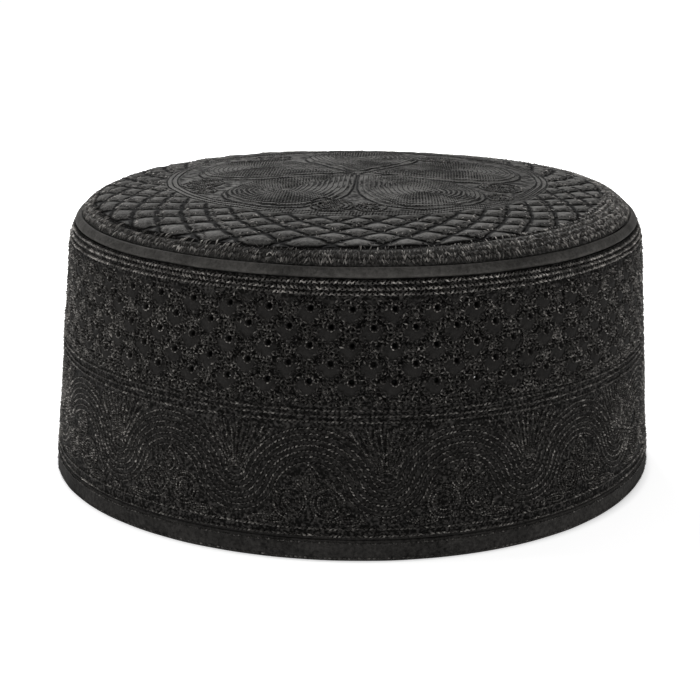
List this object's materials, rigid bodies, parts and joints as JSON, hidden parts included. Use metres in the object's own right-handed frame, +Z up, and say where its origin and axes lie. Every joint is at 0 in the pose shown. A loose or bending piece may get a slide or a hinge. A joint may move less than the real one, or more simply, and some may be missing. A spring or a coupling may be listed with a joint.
{
  "type": "prayer cap",
  "caption": "Stiff round brimless prayer cap with a flat domed crown, a flared side pierced with eyelets, and an open rim that it stands on.",
  "frame": {"origin": "middle of the rim's box on the surface that the cap stands on", "axes": "+Z up through the crown, -Y towards the front that the picture shows, +X to its right"},
  "size_m": [0.1855, 0.1854, 0.0881],
  "materials": {
    "crown_cloth": "black cotton, quilted and embroidered with black thread",
    "strip_cloth": "smooth black folded cotton",
    "side_cloth": "black cotton, densely machine embroidered",
    "hem_cloth": "plain black cotton hem",
    "black_thread": "black embroidery thread with a low sheen"
  },
  "bodies": {
    "root": {"top_disc": "crown_cloth", "shoulder_strip": "strip_cloth", "side_band": "side_cloth", "hem_band": "hem_cloth"}
  },
  "joints": []
}
